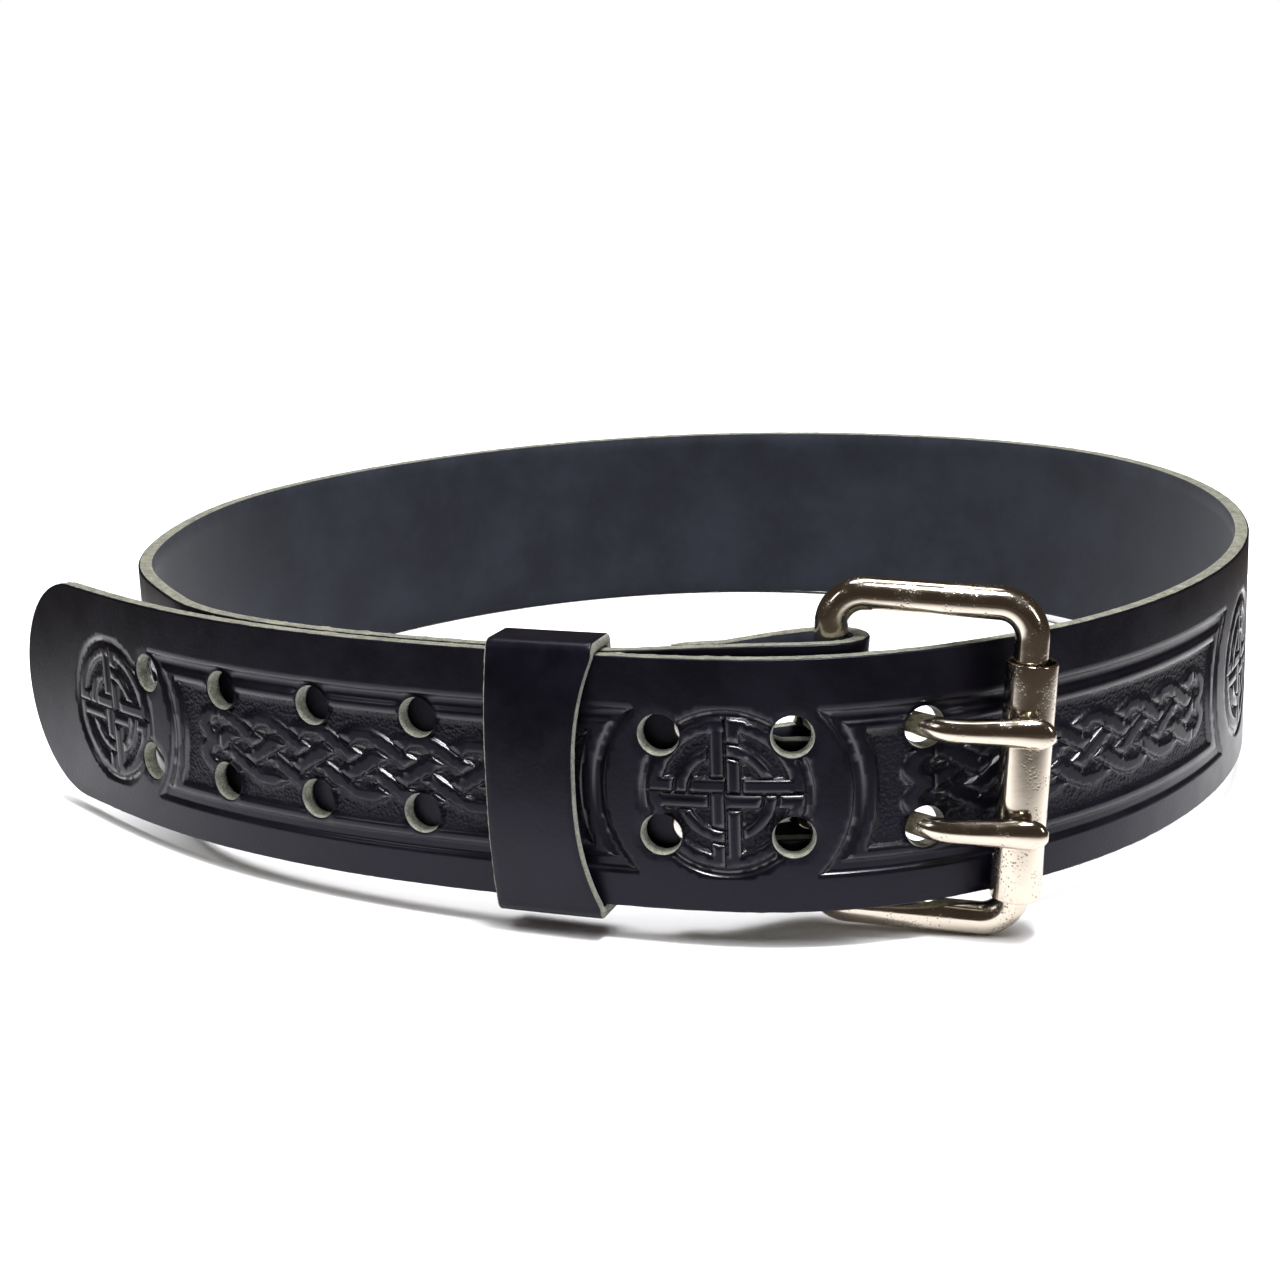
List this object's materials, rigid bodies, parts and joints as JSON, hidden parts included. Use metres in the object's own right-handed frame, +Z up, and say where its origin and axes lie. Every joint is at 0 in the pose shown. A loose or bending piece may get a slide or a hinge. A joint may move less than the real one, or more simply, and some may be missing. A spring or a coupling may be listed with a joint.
{
  "type": "kilt belt",
  "caption": "Wide leather belt buckled into a loop: strap with a double row of holes, leather keeper, and a double-prong roller buckle riveted into a fold.",
  "frame": {"origin": "middle of the bounding box, on the surface that the belt stands on", "axes": "+Z up, along the strap's width; the belt stands on its edge. -Y is the side of the buckle, which faces -Y. The free end points to -X and the buckle's roller lies towards +X"},
  "size_m": [0.3346, 0.3338, 0.0805],
  "materials": {
    "strap_leather": "black grain leather with a soft sheen, raw grey cut edges",
    "keeper_leather": "black grain leather with a soft sheen, raw grey cut edges",
    "buckle_metal": "worn nickel plate with small pits and dull spots",
    "rivet_metal": "plain nickel plate"
  },
  "bodies": {
    "belt": {"strap": "strap_leather", "keeper": "keeper_leather", "rivet_lower": "rivet_metal", "rivet_upper": "rivet_metal", "buckle_frame": "buckle_metal", "prong_lower": "buckle_metal", "prong_upper": "buckle_metal"},
    "roller": {"roller": "buckle_metal"}
  },
  "joints": [
    {"name": "roller_spin", "type": "hinge", "parent": "belt", "child": "roller", "pos_m": [0.07947, -0.15556, 0.03606], "axis": [0.0537, 0.0134, 0.9985], "continuous": true}
  ]
}
